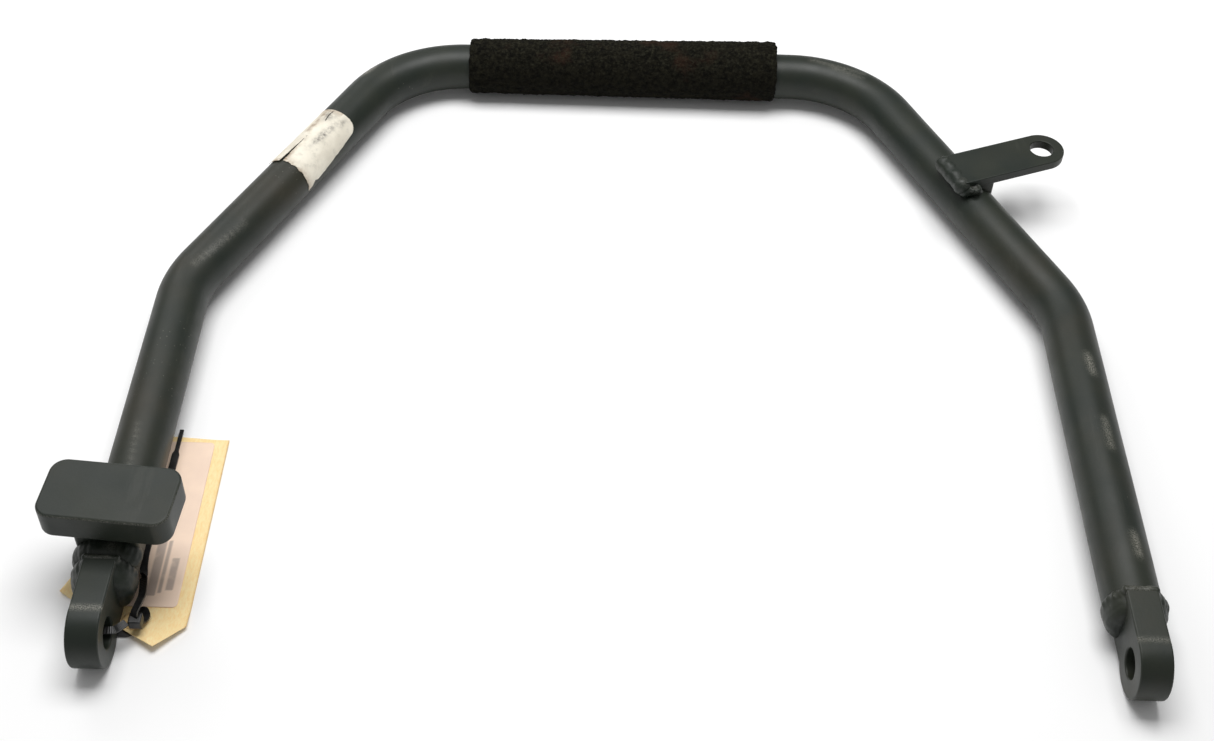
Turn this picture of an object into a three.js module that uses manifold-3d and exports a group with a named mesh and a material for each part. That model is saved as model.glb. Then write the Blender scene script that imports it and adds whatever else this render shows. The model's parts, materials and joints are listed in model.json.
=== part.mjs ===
// Bow-shaped steel handle that pivots on two eyes: a bent round tube with a foam grip, two eye lugs
// plugged into its open ends, a stop pad on the left arm, a drilled tab on the right shoulder, a paper
// label, and a card tag on a nylon tie. Millimetres, +Z up, lying flat on its grip and its two eyes.
// Bar frame: x = 0 midway between the arms, y = 0 on the pivot axis, z = 0 on the tube's centre plane.

import * as THREE from "three";
import { mergeVertices } from "three/addons/utils/BufferGeometryUtils.js";
import Module from "manifold-3d";

const wasm = await Module();
wasm.setup();

// ---- Driving dimensions -------------------------------------------------------------------------

const GAP = 0.3;                       // clearance left between pieces that touch

const TUBE_RADIUS = 15.875;            // 1 1/4 inch tube
const TUBE_WALL = 3.05;
const BEND_RADIUS = 76.2;              // centreline radius of all four bends
const TOP_HALF_WIDTH = 165.3;          // x of the top bends' corner points
const ARM_HALF_WIDTH = 277.6;          // x of both arms
const TOP_Y = 500.4;                   // pivot axis to grip axis
const SHOULDER_Y = 264.6;              // y of the lower bends' corner points
const TUBE_END_Y = 34;                 // where the tube stops short of the pivot axis
const TUBE_SIDES = 28;

const GRIP = { length: 222, shift: -5 };
const GRIP_LEFT = { radius: 19.9, lift: 0.85, back: 0.1 };   // lift and back: off the tube's axis
const GRIP_RIGHT = { radius: 21.8, lift: 3, back: 1.8 };

const EYE_RADIUS = 19.05;
const PIN_HOLE_RADIUS = 8.4;
const LUG_THICKNESS = 17.5;
const NECK_TOP = 18.9;
const NECK_BOTTOM = -15.5;
const SPIGOT_LENGTH = 22;

const PAD = {
  x: -273.5, y: 59.5, width: 72, depth: 40, thickness: 17.5, top: 44, corner: 9, edge: 1, yaw: -4.5,
};
const POST = { width: 34, depth: 24, bottom: 4 };

const TAB_HOLE = { x: 279, y: 395.4, radius: 7.9 };
const TAB = { angle: 22, width: 30, thickness: 6.35, top: 25.4, back: 66 };
const FOOT_LENGTH = 14;

const LABEL = { start: 85, length: 64, wrap: 140, thickness: 0.3, lean: -15 };

const CARD = { right: -233.5, far: 155, near: 1.4, clip: 15, thickness: 0.4 };
const CARD_LEFT_EDGE = [[-294, CARD.far], [-298, 62], [-307, 38]];
const CARD_HOLE = { x: -262, y: 20, radius: 4 };
const CARD_LABEL = { left: -287, right: -241.5, far: 149, near: 30, thickness: 0.15 };
const CARD_CREASE = { y: 30, lift: 9.5 };
const STRAP_RADIUS = 1;

// ---- Materials ----------------------------------------------------------------------------------

const PAINT = { color: 0x40483f, roughness: 0.45, metalness: 0.2 };
const FOAM = { color: 0x1c1814, roughness: 0.95, metalness: 0 };
const PAPER = { color: 0xe0d7c3, roughness: 0.7, metalness: 0 };
const MANILA = { color: 0xeccb8b, roughness: 0.8, metalness: 0 };
const PINK_PAPER = { color: 0xe6c8b4, roughness: 0.75, metalness: 0 };
const NYLON = { color: 0x0b0b0b, roughness: 0.4, metalness: 0 };

// ---- Helpers: geometry to solid and back, and named meshes ---------------------------------------

const toRadians = THREE.MathUtils.degToRad;

/** Closed solid of a geometry, keeping nothing but its positions. */
function solid(geometry) {
  const plain = geometry.clone();
  plain.deleteAttribute("normal");
  plain.deleteAttribute("uv");
  const merged = mergeVertices(plain, 1e-4);
  return new wasm.Manifold(new wasm.Mesh({
    numProp: 3,
    vertProperties: Float32Array.from(merged.attributes.position.array),
    triVerts: Uint32Array.from(merged.index.array),
  }));
}

/** Geometry of a solid. */
function geometryOf(body) {
  const mesh = body.getMesh();
  const geometry = new THREE.BufferGeometry();
  geometry.setAttribute("position", new THREE.BufferAttribute(mesh.vertProperties, 3));
  geometry.setIndex(new THREE.BufferAttribute(mesh.triVerts, 1));
  geometry.computeVertexNormals();
  return geometry;
}

/** A solid box between two corners. */
function block(low, high) {
  const size = high.map((value, i) => value - low[i]);
  const centre = high.map((value, i) => (value + low[i]) / 2);
  return solid(new THREE.BoxGeometry(...size).translate(...centre));
}

/** A solid round bar between two points. */
function rod(from, to, radius, sides = TUBE_SIDES) {
  const start = new THREE.Vector3(...from);
  const end = new THREE.Vector3(...to);
  const along = end.clone().sub(start);
  const turn = new THREE.Quaternion().setFromUnitVectors(
    new THREE.Vector3(0, 1, 0), along.clone().normalize());
  const geometry = new THREE.CylinderGeometry(radius, radius, along.length(), sides);
  const middle = start.add(end).multiplyScalar(0.5);
  return solid(geometry.applyQuaternion(turn).translate(middle.x, middle.y, middle.z));
}

function circle(radius, sides) {
  const shape = new THREE.Shape();
  for (let i = 0; i < sides; i++) {
    const angle = (2 * Math.PI * i) / sides;
    const step = i === 0 ? "moveTo" : "lineTo";
    shape[step](radius * Math.cos(angle), radius * Math.sin(angle));
  }
  shape.closePath();
  return shape;
}

/** A round bar swept along a curve. */
function sweptRod(curve, radius, steps, sides) {
  return new THREE.ExtrudeGeometry(circle(radius, sides), { steps, extrudePath: curve });
}

const bar = new THREE.Group();

function add(name, shape, finish) {
  const geometry = shape.isBufferGeometry ? shape : geometryOf(shape);
  const mesh = new THREE.Mesh(geometry, new THREE.MeshStandardMaterial(finish));
  mesh.name = name;
  bar.add(mesh);
}

// ---- Bow tube -----------------------------------------------------------------------------------

/** A flat path of straight runs and arcs, sampled only at the stations a swept tube needs. */
class BentPath extends THREE.Curve {
  constructor(corners, bendRadius, stepAngle) {
    super();
    this.points = [];
    this.tangents = [];
    this.addStation(corners[0], corners[1].clone().sub(corners[0]).normalize());
    for (let i = 1; i < corners.length - 1; i++) {
      this.addBend(corners[i - 1], corners[i], corners[i + 1], bendRadius, stepAngle);
    }
    const last = corners.at(-1);
    this.addStation(last, last.clone().sub(corners.at(-2)).normalize());
  }

  addStation(point, tangent) {
    this.points.push(point.clone());
    this.tangents.push(tangent.clone());
  }

  addBend(before, corner, after, radius, stepAngle) {
    const enter = corner.clone().sub(before).normalize();
    const leave = after.clone().sub(corner).normalize();
    const turn = enter.angleTo(leave);
    const axis = enter.clone().cross(leave).normalize();
    const inward = axis.clone().cross(enter);
    const setback = radius * Math.tan(turn / 2);
    const start = corner.clone().addScaledVector(enter, -setback);
    const centre = start.clone().addScaledVector(inward, radius);
    const steps = Math.ceil(THREE.MathUtils.radToDeg(turn) / stepAngle);
    for (let i = 0; i <= steps; i++) {
      const angle = (turn * i) / steps;
      const spoke = start.clone().sub(centre).applyAxisAngle(axis, angle);
      this.addStation(centre.clone().add(spoke), enter.clone().applyAxisAngle(axis, angle));
    }
  }

  get steps() {
    return this.points.length - 1;
  }

  getPointAt(u) {
    return this.points[Math.round(u * this.steps)].clone();
  }

  getTangentAt(u) {
    return this.tangents[Math.round(u * this.steps)].clone();
  }
}

function bowPath(endY) {
  const corners = [
    [-ARM_HALF_WIDTH, endY], [-ARM_HALF_WIDTH, SHOULDER_Y], [-TOP_HALF_WIDTH, TOP_Y],
    [TOP_HALF_WIDTH, TOP_Y], [ARM_HALF_WIDTH, SHOULDER_Y], [ARM_HALF_WIDTH, endY],
  ];
  return new BentPath(corners.map(([x, y]) => new THREE.Vector3(x, y, 0)), BEND_RADIUS, 9);
}

const BORE_RADIUS = TUBE_RADIUS - TUBE_WALL;
const SHOULDER = new THREE.Vector3(ARM_HALF_WIDTH, SHOULDER_Y, 0);
const TOP_CORNER = new THREE.Vector3(TOP_HALF_WIDTH, TOP_Y, 0);
const DIAGONAL = SHOULDER.clone().sub(TOP_CORNER).normalize();

function bowTube() {
  const path = bowPath(TUBE_END_Y);
  const ring = circle(TUBE_RADIUS, TUBE_SIDES);
  ring.holes.push(circle(BORE_RADIUS, TUBE_SIDES));
  return new THREE.ExtrudeGeometry(ring, { steps: path.steps, extrudePath: path });
}

/** Solid stand-in for the tube, grown by the gap, that its neighbours are cut back with. */
function tubeCutter() {
  const path = bowPath(TUBE_END_Y);
  return solid(sweptRod(path, TUBE_RADIUS + GAP, path.steps, TUBE_SIDES));
}

const tubeSpace = tubeCutter();

add("bow_tube", bowTube(), PAINT);

// ---- Foam grip ----------------------------------------------------------------------------------

/** A sleeve that grows thicker towards its right end, mostly on its upper side. */
function foamGrip() {
  const sleeve = new THREE.CylinderGeometry(
    GRIP_RIGHT.radius, GRIP_LEFT.radius, GRIP.length, TUBE_SIDES).rotateZ(-Math.PI / 2);
  const places = sleeve.attributes.position;
  for (let i = 0; i < places.count; i++) {
    const share = places.getX(i) / GRIP.length + 0.5;
    const back = THREE.MathUtils.lerp(GRIP_LEFT.back, GRIP_RIGHT.back, share);
    const lift = THREE.MathUtils.lerp(GRIP_LEFT.lift, GRIP_RIGHT.lift, share);
    places.setXYZ(i, places.getX(i), places.getY(i) + back, places.getZ(i) + lift);
  }
  const bore = rod([-GRIP.length, 0, 0], [GRIP.length, 0, 0], TUBE_RADIUS + GAP);
  return solid(sleeve).subtract(bore).translate([GRIP.shift, TOP_Y, 0]);
}

add("foam_grip", foamGrip(), FOAM);

// ---- Eye lugs and the welds that hold them --------------------------------------------------------

/** Side outline of a lug, y then z: a round eye with a flat-topped neck running to the tube's end. */
function lugOutline(grow = 0) {
  const radius = EYE_RADIUS + grow;
  const top = NECK_TOP + grow;
  const bottom = NECK_BOTTOM - grow;
  const first = Math.asin(top / radius);
  const last = Math.asin(bottom / radius);
  const shape = new THREE.Shape();
  shape.moveTo(TUBE_END_Y - GAP + grow, top);
  shape.lineTo(radius * Math.cos(first), top);
  shape.absarc(0, 0, radius, first, 2 * Math.PI + last, false);
  shape.lineTo(TUBE_END_Y - GAP + grow, bottom);
  shape.closePath();
  return shape;
}

/** The lug's plate: its outline drawn in y and z, and given thickness along x. */
function lugPlate(x, grow = 0) {
  const thickness = LUG_THICKNESS + 2 * grow;
  const plate = new THREE.ExtrudeGeometry(lugOutline(grow), {
    depth: thickness, bevelEnabled: false, curveSegments: 28,
  });
  plate.translate(0, 0, -thickness / 2);
  plate.rotateX(Math.PI / 2).rotateZ(Math.PI / 2);
  return solid(plate.translate(x, 0, 0));
}

function spigot(x, grow = 0) {
  const root = TUBE_END_Y - 2 * GAP - 1;
  return rod([x, root, 0], [x, TUBE_END_Y + SPIGOT_LENGTH, 0], BORE_RADIUS - GAP + grow, 24);
}

function eyeLug(x) {
  const reach = LUG_THICKNESS;
  const hole = rod([x - reach, 0, 0], [x + reach, 0, 0], PIN_HOLE_RADIUS, 32);
  return lugPlate(x).add(spigot(x)).subtract(hole);
}

/** Weld metal that closes the open tube beside the lug and stands proud round its end. */
function lugWeld(x) {
  const profile = [
    [0, -11], [12, -11], [15.2, -9.8], [16.8, -7.6], [17.4, -4.5],
    [17.6, -1.5], [17.9, 1], [17.5, 3.4], [16.4, 5.6], [0, 5.6],
  ];
  const outline = profile.map(([r, y]) => new THREE.Vector2(r, y));
  const dome = solid(new THREE.LatheGeometry(outline, 32).translate(x, TUBE_END_Y, 0));
  return dome.subtract(tubeSpace).subtract(lugPlate(x, GAP)).subtract(spigot(x, GAP));
}

for (const [side, sign] of [["left", -1], ["right", 1]]) {
  add(`${side}_eye_lug`, eyeLug(sign * ARM_HALF_WIDTH), PAINT);
  add(`${side}_lug_weld`, lugWeld(sign * ARM_HALF_WIDTH), PAINT);
}

// ---- Stop pad, its post and welds -----------------------------------------------------------------

function roundedRectangle(width, depth, corner) {
  const w = width / 2;
  const d = depth / 2;
  const shape = new THREE.Shape();
  shape.moveTo(w - corner, -d);
  shape.absarc(w - corner, -d + corner, corner, -Math.PI / 2, 0, false);
  shape.absarc(w - corner, d - corner, corner, 0, Math.PI / 2, false);
  shape.absarc(-w + corner, d - corner, corner, Math.PI / 2, Math.PI, false);
  shape.absarc(-w + corner, -d + corner, corner, Math.PI, 1.5 * Math.PI, false);
  shape.closePath();
  return shape;
}

function stopPad() {
  const { edge } = PAD;
  const outline = roundedRectangle(PAD.width - 2 * edge, PAD.depth - 2 * edge, PAD.corner - edge);
  return new THREE.ExtrudeGeometry(outline, {
    depth: PAD.thickness - 2 * edge, bevelSize: edge, bevelThickness: edge, bevelSegments: 2,
    curveSegments: 6,
  }).rotateZ(toRadians(PAD.yaw)).translate(PAD.x, PAD.y, PAD.top - PAD.thickness + edge);
}

const PAD_BOTTOM = PAD.top - PAD.thickness;
const POST_LOW = [-ARM_HALF_WIDTH - POST.width / 2, PAD.y - POST.depth / 2, POST.bottom];
const POST_HIGH = [-ARM_HALF_WIDTH + POST.width / 2, PAD.y + POST.depth / 2, PAD_BOTTOM - GAP];

function postBlock(grow = 0) {
  return block(POST_LOW.map((value) => value - grow), POST_HIGH.map((value) => value + grow));
}

/** Fillet bead over the top of a tube that runs along y, beside the post. */
function saddleWeld(y) {
  const reach = TUBE_RADIUS + GAP + 1;
  const arc = [];
  for (let angle = -70; angle <= 70; angle += 10) {
    const turn = toRadians(angle);
    arc.push(new THREE.Vector3(
      -ARM_HALF_WIDTH + reach * Math.sin(turn), y, reach * Math.cos(turn)));
  }
  const bead = solid(sweptRod(new THREE.CatmullRomCurve3(arc), 2.8, 16, 10));
  return bead.subtract(tubeSpace).subtract(postBlock(GAP));
}

/** Bead along the seam between the post's top and the pad's underside. */
function padWeld(y) {
  const half = POST.width / 2 - 3;
  const z = PAD_BOTTOM - GAP;
  const bead = rod([-ARM_HALF_WIDTH - half, y, z], [-ARM_HALF_WIDTH + half, y, z], 2.6, 12);
  const padSpace = block([PAD.x - 60, PAD.y - 40, z], [PAD.x + 60, PAD.y + 40, PAD.top]);
  return bead.subtract(padSpace).subtract(postBlock(GAP));
}

add("stop_pad", stopPad(), PAINT);
add("pad_post", postBlock().subtract(tubeSpace), PAINT);
for (const [place, sign] of [["front", -1], ["rear", 1]]) {
  const seam = PAD.y + sign * (POST.depth / 2 + 0.6);
  add(`pad_post_weld_${place}`, saddleWeld(seam), PAINT);
  add(`pad_weld_${place}`, padWeld(seam), PAINT);
}

// ---- Drilled tab, its foot and welds --------------------------------------------------------------

/** Moves a shape drawn about the tab's hole, with the tube on its -x side, to where the tab is. */
function placeTab(geometry) {
  return geometry.rotateZ(toRadians(TAB.angle)).translate(TAB_HOLE.x, TAB_HOLE.y, 0);
}

function tabPlate() {
  const half = TAB.width / 2;
  const shape = new THREE.Shape();
  shape.moveTo(-TAB.back, -half);
  shape.lineTo(0, -half);
  shape.absarc(0, 0, half, -Math.PI / 2, Math.PI / 2, false);
  shape.lineTo(-TAB.back, half);
  shape.closePath();
  shape.holes.push(circle(TAB_HOLE.radius, 28));
  const plate = new THREE.ExtrudeGeometry(shape, {
    depth: TAB.thickness, bevelEnabled: false, curveSegments: 14,
  });
  return placeTab(plate.translate(0, 0, TAB.top - TAB.thickness));
}

const TAB_BOTTOM = TAB.top - TAB.thickness;
const TUBE_LINE = 57;                  // from the tab's hole back to the tube's centreline

function footBlock(grow = 0) {
  const half = TAB.width / 2 - 1 + grow;
  const height = TAB_BOTTOM - GAP + grow;
  const foot = new THREE.BoxGeometry(FOOT_LENGTH + 2 * grow, 2 * half, height);
  foot.translate(-TUBE_LINE + FOOT_LENGTH / 2, 0, height / 2);
  return solid(placeTab(foot));
}

/** Bead in the tab's own frame, between two points, cut clear of everything it touches. */
function tabWeld(from, to, radius) {
  const path = new THREE.LineCurve3(new THREE.Vector3(...from), new THREE.Vector3(...to));
  const bead = solid(placeTab(sweptRod(path, radius, 1, 12)));
  const plate = new THREE.BoxGeometry(TAB.back + GAP + 30, TAB.width + 2 * GAP, TAB.thickness + 2 * GAP);
  plate.translate((30 - TAB.back - GAP) / 2, 0, TAB_BOTTOM + TAB.thickness / 2);
  return bead.subtract(tubeSpace).subtract(solid(placeTab(plate))).subtract(footBlock(GAP));
}

add("tab_plate", tabPlate(), PAINT);
add("tab_foot", footBlock().subtract(tubeSpace), PAINT);
const seamZ = TAB_BOTTOM - 1;
const sideY = TAB.width / 2 + 0.5;
add("tab_root_weld", tabWeld([-TAB.back - 1, -12, seamZ], [-TAB.back - 1, 12, seamZ], 4.2), PAINT);
add("tab_front_weld", tabWeld([-TAB.back + 5, -sideY, seamZ], [-TUBE_LINE + 11, -sideY, seamZ - 4], 4.2),
  PAINT);
add("tab_rear_weld", tabWeld([-TAB.back + 5, sideY, seamZ], [-TUBE_LINE + 11, sideY, seamZ - 4], 3.6),
  PAINT);

// ---- Paper label on the left diagonal ---------------------------------------------------------------

/** Part of a thin sleeve: wrapped round the tube's upper side, leaning towards the bow's inside. */
function bowLabel() {
  const inner = TUBE_RADIUS + GAP;
  const outer = inner + LABEL.thickness;
  const first = toRadians(90 - LABEL.wrap / 2 + LABEL.lean);
  const last = toRadians(90 + LABEL.wrap / 2 + LABEL.lean);
  const shape = new THREE.Shape();
  shape.absarc(0, 0, outer, first, last, false);
  shape.absarc(0, 0, inner, last, first, true);
  shape.closePath();
  const sleeve = new THREE.ExtrudeGeometry(shape, {
    depth: LABEL.length, bevelEnabled: false, curveSegments: 14,
  });
  const heading = Math.atan2(-DIAGONAL.x, -DIAGONAL.y);
  sleeve.rotateX(Math.PI / 2);
  sleeve.translate(0, -LABEL.start, 0);
  sleeve.rotateZ(heading);
  return sleeve.translate(-TOP_HALF_WIDTH, TOP_Y, 0);
}

add("bow_label", bowLabel(), PAPER);

// ---- Card tag ---------------------------------------------------------------------------------------

const FLOOR_Z = -EYE_RADIUS;

/** A flat card's solid with its near end bent up at the crease. */
function creased(flat) {
  const far = flat.trimByPlane([0, 1, 0], CARD_CREASE.y - 0.1);
  const near = flat.trimByPlane([0, -1, 0], -CARD_CREASE.y);
  const raised = near
    .translate([0, -CARD_CREASE.y, -FLOOR_Z])
    .rotate([-CARD_CREASE.lift, 0, 0])
    .translate([0, CARD_CREASE.y, FLOOR_Z]);
  return far.add(raised);
}

/** The card, with its near right corner clipped and its near left corner folded away. */
function tagCard() {
  const shape = new THREE.Shape();
  const [first, ...rest] = CARD_LEFT_EDGE;
  shape.moveTo(...first);
  for (const corner of rest) {
    shape.lineTo(...corner);
  }
  shape.lineTo(CARD.right - CARD.clip, CARD.near);
  shape.lineTo(CARD.right, CARD.near + CARD.clip);
  shape.lineTo(CARD.right, CARD.far);
  shape.closePath();
  const card = new THREE.ExtrudeGeometry(shape, { depth: CARD.thickness, bevelEnabled: false });
  const hole = rod([CARD_HOLE.x, CARD_HOLE.y, FLOOR_Z - 5], [CARD_HOLE.x, CARD_HOLE.y, 0],
    CARD_HOLE.radius, 20);
  return creased(solid(card.translate(0, 0, FLOOR_Z)).subtract(hole));
}

const CARD_TOP = FLOOR_Z + CARD.thickness;

function tagPatch() {
  const ring = circle(CARD_HOLE.radius + 3, 24);
  ring.holes.push(circle(CARD_HOLE.radius, 20));
  const patch = new THREE.ExtrudeGeometry(ring, { depth: CARD_LABEL.thickness, bevelEnabled: false });
  return creased(solid(patch.translate(CARD_HOLE.x, CARD_HOLE.y, CARD_TOP + GAP / 3)));
}

function tagLabel() {
  const { left, right, far, near, thickness } = CARD_LABEL;
  return block([left, near, CARD_TOP + GAP / 3], [right, far, CARD_TOP + GAP / 3 + thickness]);
}

add("tag_card", tagCard(), MANILA);
add("tag_patch", tagPatch(), MANILA);
add("tag_label", tagLabel(), PINK_PAPER);

// ---- Nylon tie through the left eye -------------------------------------------------------------------

const TIE_HEAD = { x: -258.5, y: 13.5, z: -8, width: 7, depth: 7, height: 6 };

/**
 * Route of the strap: from its head through the eye, down the lug's outer face, back under the neck,
 * up through the card's hole, and through the head to the tail that lies on the card.
 */
const STRAP_ROUTE = [
  [-262.6, 10.4, -5.6], [-266, 6, -4.6], [-270, 4.4, -4.5], [-284, 4, -4.8], [-289, 6, -7],
  [-290.5, 10, -12], [-289, 12.2, -16], [-284.5, 12.6, -17.7], [-272, 12.4, -18], [-265.6, 12.2, -18],
  [-262.6, 13.4, -18], [-261.9, 16.2, -17.95], [-261.6, 20.2, -17.1], [-260.9, 24.2, -16.2],
  [-257.8, 25.2, -14.9], [-255.6, 21.5, -14.4], [-256.6, 16.8, -13.2], [-258.5, 14, -8],
  [-258.8, 15, -3.2], [-257.8, 20, -2.6], [-257.6, 27, -4.8], [-258.8, 34.5, -7.6], [-262.6, 48, -15.2],
  [-264.6, 58, -16.6], [-265.4, 70, -17.15], [-264.6, 90, -17.2], [-263, 120, -17.2], [-262.6, 157, -17.2],
];

function tieStrap(grow = 0) {
  const points = STRAP_ROUTE.map((place) => new THREE.Vector3(...place));
  const route = new THREE.CatmullRomCurve3(points, false, "centripetal");
  return sweptRod(route, STRAP_RADIUS + grow, 110, 8);
}

/** Locking head of the tie, with the slot that the strap's tail runs through. */
function tieHead() {
  const { x, y, z, width, depth, height } = TIE_HEAD;
  const half = [width / 2, depth / 2, height / 2];
  const low = [x - half[0], y - half[1], z - half[2]];
  const high = [x + half[0], y + half[1], z + half[2]];
  const body = block(low, high);
  return body.subtract(solid(tieStrap(GAP)));
}

add("tag_tie_strap", tieStrap(), NYLON);
add("tag_tie_head", tieHead(), NYLON);

// ---- Origin: on the ground, under the middle of the bounding box ---------------------------------------

bar.updateMatrixWorld(true);
const bounds = new THREE.Box3().setFromObject(bar, true);
const middle = bounds.getCenter(new THREE.Vector3());
bar.position.set(-middle.x, -middle.y, -bounds.min.z);

export default bar;
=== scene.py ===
"""Looks of the bow-shaped lift handle: painted bent tube, foam grip, welded lugs, pad and tab,
worn paper label, and a card tag on a nylon tie. Metres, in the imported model's own frame."""

import json
import math
import random

import bmesh
import bpy
from mathutils import Matrix, Vector, noise


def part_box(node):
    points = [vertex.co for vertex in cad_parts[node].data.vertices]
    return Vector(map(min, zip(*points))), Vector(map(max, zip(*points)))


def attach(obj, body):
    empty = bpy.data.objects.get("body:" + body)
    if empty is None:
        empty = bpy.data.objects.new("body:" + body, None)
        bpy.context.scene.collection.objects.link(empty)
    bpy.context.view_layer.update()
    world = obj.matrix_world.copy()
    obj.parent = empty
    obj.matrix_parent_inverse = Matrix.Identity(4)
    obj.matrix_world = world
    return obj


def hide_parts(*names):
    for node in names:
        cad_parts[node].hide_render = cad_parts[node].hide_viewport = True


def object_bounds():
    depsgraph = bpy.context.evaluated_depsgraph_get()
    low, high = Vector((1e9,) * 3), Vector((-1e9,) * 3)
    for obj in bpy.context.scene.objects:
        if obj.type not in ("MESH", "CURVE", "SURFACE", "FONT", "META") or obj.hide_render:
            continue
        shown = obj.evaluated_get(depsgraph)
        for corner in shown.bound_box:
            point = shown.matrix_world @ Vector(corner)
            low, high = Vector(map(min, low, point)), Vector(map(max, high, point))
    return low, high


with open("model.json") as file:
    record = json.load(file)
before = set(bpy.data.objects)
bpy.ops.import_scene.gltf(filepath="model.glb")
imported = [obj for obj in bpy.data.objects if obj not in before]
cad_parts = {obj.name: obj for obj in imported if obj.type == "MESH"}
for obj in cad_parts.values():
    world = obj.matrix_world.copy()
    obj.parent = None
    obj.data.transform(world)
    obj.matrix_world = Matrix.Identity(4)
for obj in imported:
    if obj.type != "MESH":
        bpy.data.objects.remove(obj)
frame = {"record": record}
cad_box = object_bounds()

MM = 0.001
UP = Vector((0, 0, 1))

# ---- Places and sizes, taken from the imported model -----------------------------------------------

MOUNTS = {m["name"]: Vector(m["pos_m"]) for m in frame["record"]["mounts"]}
TUBE_LOW, TUBE_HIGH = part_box("bow_tube")
GRIP_LOW, GRIP_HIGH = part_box("foam_grip")
LUG_LOW, LUG_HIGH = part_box("left_eye_lug")
PAD_LOW, PAD_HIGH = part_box("stop_pad")
POST_LOW, POST_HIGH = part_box("pad_post")
CARD_LOW, CARD_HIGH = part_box("tag_card")
HEAD_LOW, HEAD_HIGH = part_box("tag_tie_head")

TUBE_RADIUS = (TUBE_HIGH.z - TUBE_LOW.z) / 2
AXIS_Z = (TUBE_HIGH.z + TUBE_LOW.z) / 2
MIDDLE_X = (TUBE_HIGH.x + TUBE_LOW.x) / 2
ARM_HALF = (TUBE_HIGH.x - TUBE_LOW.x) / 2 - TUBE_RADIUS
TOP_Y = TUBE_HIGH.y - TUBE_RADIUS
TUBE_END_Y = TUBE_LOW.y
EYE_RADIUS = (LUG_HIGH.z - LUG_LOW.z) / 2
PIVOT_Y = LUG_LOW.y + EYE_RADIUS
PLATE_HALF = (MOUNTS["left_eye_inner_face"].x - MOUNTS["left_eye_outer_face"].x) / 2

# Driving dimensions that the bow's bends and small parts share with the model's source.
TUBE_WALL = 3.05 * MM
BEND_RADIUS = 76.2 * MM
TOP_HALF = 165.3 * MM
SHOULDER_Y = PIVOT_Y + 264.6 * MM
PIN_HOLE_RADIUS = 8.4 * MM
NECK_TOP = 18.9 * MM
NECK_BOTTOM = -15.5 * MM
CREASE_Y = PIVOT_Y + math.sqrt(EYE_RADIUS ** 2 - NECK_TOP ** 2)     # where neck meets eye
GRIP_LEFT = {"radius": 19.9, "lift": 0.85, "back": 0.1}     # mm; lift and back are off the tube's axis
GRIP_RIGHT = {"radius": 21.8, "lift": 3.0, "back": 1.8}
PAD_SIZE = Vector((72, 40, 17.5)) * MM
PAD_YAW = math.radians(-4.5)


def on_bow(x, y, z=0.0):
    """A point given from the bow's middle line, its pivot axis and its centre plane, in mm."""
    return Vector((MIDDLE_X + x * MM, PIVOT_Y + y * MM, AXIS_Z + z * MM))


# ---- Camera, light and floor ---------------------------------------------------------------------


def place_camera():
    data = bpy.data.cameras.new("photo_camera")
    data.sensor_width = 36
    data.lens = 50.4
    data.clip_start = 0.01
    camera = bpy.data.objects.new("photo_camera", data)
    camera.location = on_bow(-15.5, -508.0, 749.8)
    camera.rotation_euler = [math.radians(a) for a in (43.36, -1.43, 1.11)]
    bpy.context.scene.collection.objects.link(camera)
    bpy.context.scene.camera = camera


def area_light(name, place, target, size, energy):
    data = bpy.data.lights.new(name, "AREA")
    data.shape = "RECTANGLE"
    data.size, data.size_y = size
    data.energy = energy
    light = bpy.data.objects.new(name, data)
    light.location = place
    light.rotation_euler = (Vector(target) - Vector(place)).to_track_quat("-Z", "Y").to_euler()
    bpy.context.scene.collection.objects.link(light)


def light_the_set():
    bpy.context.scene.view_settings.view_transform = "Standard"
    world = bpy.data.worlds.new("studio")
    world.use_nodes = True
    background = world.node_tree.nodes["Background"]
    background.inputs["Color"].default_value = (1, 1, 1, 1)
    background.inputs["Strength"].default_value = 0.32
    bpy.context.scene.world = world
    area_light("overhead_softbox", (0.0, 0.35, 1.6), (0, 0.05, 0), (1.3, 0.9), 26)
    area_light("rear_softbox", (-0.9, 1.3, 1.1), (0, 0, 0), (1.0, 0.8), 5)


def lay_floor():
    mesh = bpy.data.meshes.new("studio_floor")
    shape = bmesh.new()
    bmesh.ops.create_grid(shape, x_segments=2, y_segments=2, size=6)
    shape.to_mesh(mesh)
    shape.free()
    floor = bpy.data.objects.new("studio_floor", mesh)
    floor.location.z = cad_box[0][2] - 0.0002
    bpy.context.scene.collection.objects.link(floor)
    material = bpy.data.materials.new("white_sweep")
    material.use_nodes = True
    shader = material.node_tree.nodes["Principled BSDF"]
    shader.inputs["Base Color"].default_value = (0.93, 0.93, 0.93, 1)
    shader.inputs["Roughness"].default_value = 0.6
    mesh.materials.append(material)


# ---- Node helpers --------------------------------------------------------------------------------


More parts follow.
